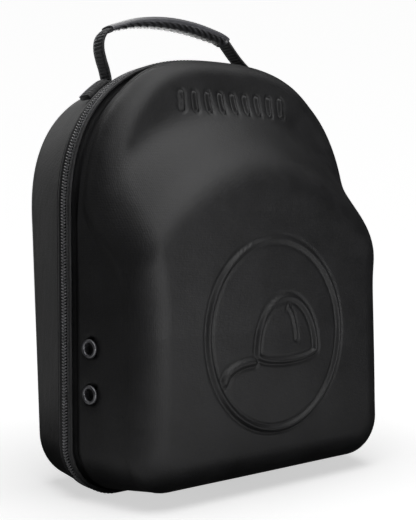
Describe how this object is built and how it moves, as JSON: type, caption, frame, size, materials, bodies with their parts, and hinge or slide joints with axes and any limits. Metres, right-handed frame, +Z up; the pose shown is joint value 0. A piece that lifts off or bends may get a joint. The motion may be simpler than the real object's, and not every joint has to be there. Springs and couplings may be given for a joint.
{
  "type": "hat carrier",
  "caption": "Hard moulded hat carrier with an arched outline, a stepped lid for a cap's crown and peak, a zip round the seam, vent eyelets and a soft top handle.",
  "frame": {"origin": "middle of the bottom of the bounding box, on the floor that it stands on", "axes": "+Z up through the handle, +X to the right seen from the lid, +Y from the lid towards the back shell"},
  "size_m": [0.2852, 0.1722, 0.3766],
  "materials": {
    "shell_cloth": "fine ribbed weave bonded to moulded foam",
    "zip_tape": "woven tape",
    "zip_coil": "semi-gloss moulded teeth",
    "strap_webbing": "ribbed webbing",
    "grip_rubber": "satin",
    "eyelet_enamel": "glossy black enamel"
  },
  "bodies": {
    "root": {"back_shell": "shell_cloth", "lid_shell": "shell_cloth", "zip_tape_lid": "zip_tape", "zip_tape_back": "zip_tape", "zip_coil": "zip_coil", "hinge_strip": "zip_tape", "zip_slider": "zip_coil", "eyelet_left_low": "eyelet_enamel", "eyelet_left_high": "eyelet_enamel", "eyelet_right_low": "eyelet_enamel", "eyelet_right_high": "eyelet_enamel", "handle_strap": "strap_webbing", "handle_grip": "grip_rubber"}
  },
  "joints": []
}
